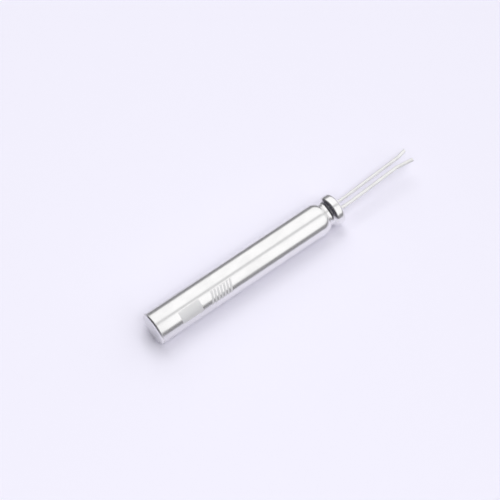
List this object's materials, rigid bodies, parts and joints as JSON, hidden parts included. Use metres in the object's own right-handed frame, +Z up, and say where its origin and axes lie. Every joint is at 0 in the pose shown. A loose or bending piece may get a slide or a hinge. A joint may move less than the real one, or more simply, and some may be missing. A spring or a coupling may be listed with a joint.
{
  "type": "supercapacitor",
  "caption": "Slim radial-lead supercapacitor: a bare drawn aluminium can, grooved and curled over a rubber seal, with two thin wire leads and a wound element inside.",
  "frame": {"origin": "centre of the can's closed end, on the surface that it stands on", "axes": "+Z up the can's axis towards the leads; the leads stand side by side along X, the negative one at +X; both lean a little towards -Y"},
  "size_m": [0.004, 0.004, 0.0376],
  "materials": {
    "can_aluminium": "bright drawn",
    "lug_aluminium": "satin",
    "tinned_wire": "tin plated",
    "seal_rubber": "moulded",
    "carbon_foil": "carbon coated foil",
    "separator_paper": "matte",
    "winding_tape": "film"
  },
  "bodies": {
    "root": {"can": "can_aluminium", "seal": "seal_rubber", "positive_lead": "tinned_wire", "negative_lead": "tinned_wire", "positive_lug": "lug_aluminium", "negative_lug": "lug_aluminium", "positive_electrode": "carbon_foil", "negative_electrode": "carbon_foil", "inner_separator": "separator_paper", "outer_separator": "separator_paper", "winding_tape": "winding_tape"}
  },
  "joints": []
}
